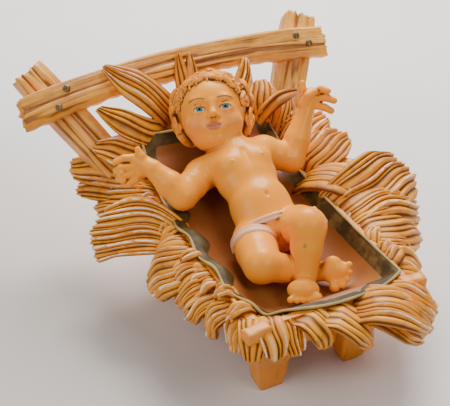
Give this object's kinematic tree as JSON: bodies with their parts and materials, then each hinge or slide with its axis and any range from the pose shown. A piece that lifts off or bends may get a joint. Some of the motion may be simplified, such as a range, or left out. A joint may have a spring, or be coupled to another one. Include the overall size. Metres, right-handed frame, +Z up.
{
  "type": "nativity infant figurine in a straw-filled crib",
  "caption": "Painted infant figure lying loose in a footed crib with a leaning head frame and moulded straw.",
  "frame": {"origin": "middle of the underside, on the surface that the four feet stand on", "axes": "+Z up, +Y from the foot end to the leaning head frame, +X to the infant's left"},
  "size_m": [0.187, 0.2156, 0.1056],
  "materials": {
    "painted_straw": "hand-painted straw and wood, washed brown and dry-brushed white",
    "painted_skin": "hand-painted skin with a soft gloss"
  },
  "bodies": {
    "root": {"manger": "painted_straw", "infant": "painted_skin"}
  },
  "joints": []
}
